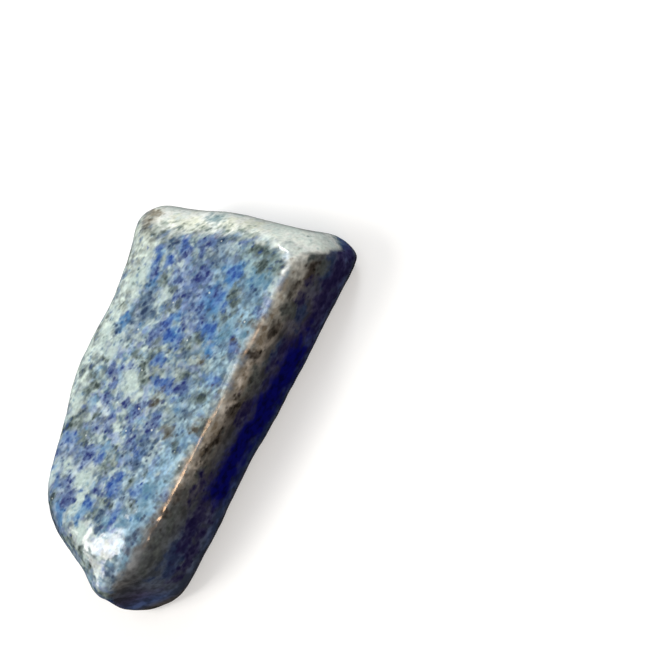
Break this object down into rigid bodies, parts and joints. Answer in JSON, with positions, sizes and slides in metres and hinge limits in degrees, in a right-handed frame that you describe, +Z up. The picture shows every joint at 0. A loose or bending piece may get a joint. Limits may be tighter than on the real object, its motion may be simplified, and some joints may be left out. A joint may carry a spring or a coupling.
{
  "type": "lapis lazuli stone",
  "caption": "Tumble-polished slab of raw lapis lazuli with worn edges, bevelled ends and a flat spot underneath to rest on.",
  "frame": {"origin": "on the ground, under the middle of the stone's bounding box", "axes": "+Z up, +X along the stone towards its broad bevelled end, -Y out of its steep long side"},
  "size_m": [0.052, 0.0266, 0.0128],
  "materials": {
    "lapis": "polished, blue-grey with deep blue specks and bands"
  },
  "bodies": {
    "root": {"lapis_stone": "lapis"}
  },
  "joints": []
}
